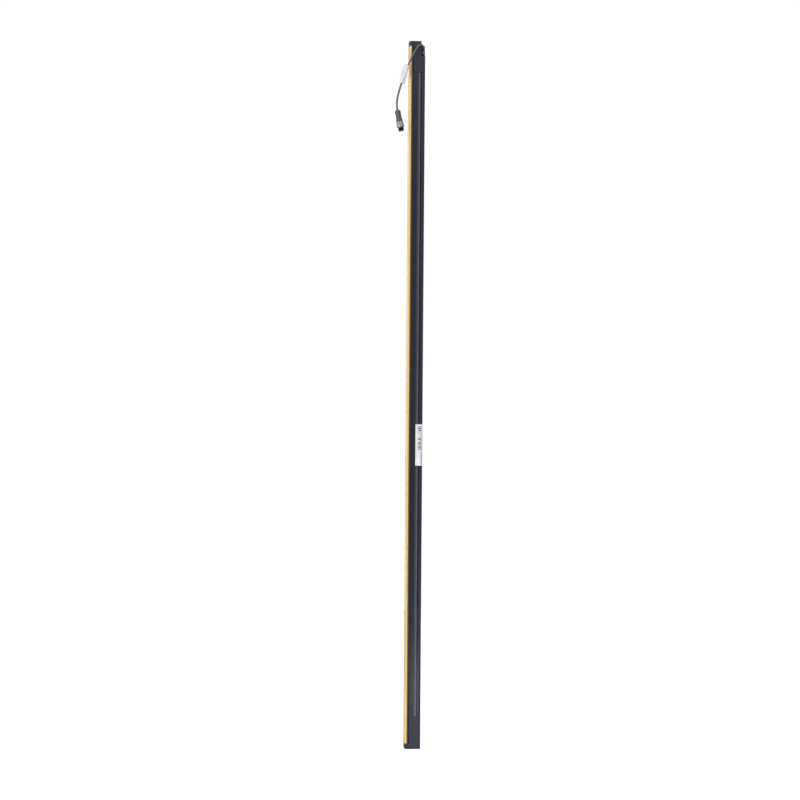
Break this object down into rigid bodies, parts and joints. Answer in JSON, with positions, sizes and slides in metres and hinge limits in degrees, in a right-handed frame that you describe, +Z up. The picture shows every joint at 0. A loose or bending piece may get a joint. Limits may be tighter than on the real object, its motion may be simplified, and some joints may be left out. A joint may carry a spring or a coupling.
{
  "type": "safety light curtain",
  "caption": "Slim upright safety light curtain bar: black slotted housing, yellow front rails round a dark window, moulded end covers and a short cable with a round screw plug.",
  "frame": {"origin": "centre of the bottom end of the bar, without its cable", "axes": "+Z up along the bar, -Y out of the sensing face, +X towards the side with the cable"},
  "size_m": [0.048, 0.0655, 1.513],
  "materials": {
    "anodised_black": "satin black anodising with faint extrusion lines",
    "rail_yellow": "satin safety-yellow coat",
    "window_dark": "polished dark polycarbonate",
    "cover_plastic": "fine spark-eroded texture",
    "seal_rubber": "matte",
    "screw_steel": "zinc plated",
    "carrier_plastic": "matte black",
    "lens_clear": "clear moulded",
    "board_green": "solder mask",
    "connector_plastic": "natural nylon",
    "diode_clear": "clear epoxy",
    "cable_sheath": "satin PVC sheath",
    "flag_film": "clear label film, slightly milky",
    "grip_black": "satin moulded grip",
    "nut_nickel": "nickel plated",
    "insert_dark": "dark red-brown insert",
    "pin_gold": "gold plated",
    "ring_brown": "matte",
    "label_white": "satin label stock"
  },
  "bodies": {
    "bar": {"housing_profile": "anodised_black", "front_rail_right": "rail_yellow", "front_rail_left": "rail_yellow", "front_window": "window_dark", "window_seal_right": "seal_rubber", "window_seal_left": "seal_rubber", "window_end_seals": "seal_rubber", "bottom_end_cover": "cover_plastic", "top_end_cover": "cover_plastic", "bottom_seam_gasket": "seal_rubber", "top_seam_gasket": "seal_rubber", "bottom_end_screws": "screw_steel", "top_end_screws": "screw_steel", "beam_diodes": "diode_clear", "board_links": "connector_plastic", "status_board": "board_green", "status_light_pipes": "lens_clear", "controller_board": "board_green", "controller_links": "connector_plastic", "cable_socket": "connector_plastic", "cable_grommet": "seal_rubber", "inner_lead": "cable_sheath", "cable": "cable_sheath", "cable_flag_label": "flag_film", "plug_grip": "grip_black", "contact_carrier": "insert_dark", "contact_pins": "pin_gold", "plug_seal_ring": "ring_brown", "type_label": "label_white", "optics_carrier_1": "carrier_plastic", "lens_strip_1": "lens_clear", "beam_board_1": "board_green", "optics_carrier_2": "carrier_plastic", "lens_strip_2": "lens_clear", "beam_board_2": "board_green", "optics_carrier_3": "carrier_plastic", "lens_strip_3": "lens_clear", "beam_board_3": "board_green", "optics_carrier_4": "carrier_plastic", "lens_strip_4": "lens_clear", "beam_board_4": "board_green", "optics_carrier_5": "carrier_plastic", "lens_strip_5": "lens_clear", "beam_board_5": "board_green"},
    "coupling_nut": {"coupling_nut": "nut_nickel"}
  },
  "joints": [
    {"name": "nut_spin", "type": "hinge", "parent": "bar", "child": "coupling_nut", "pos_m": [0.0213, -0.0427, 1.363], "axis": [0.099, 0.1856, -0.9776], "continuous": true}
  ]
}
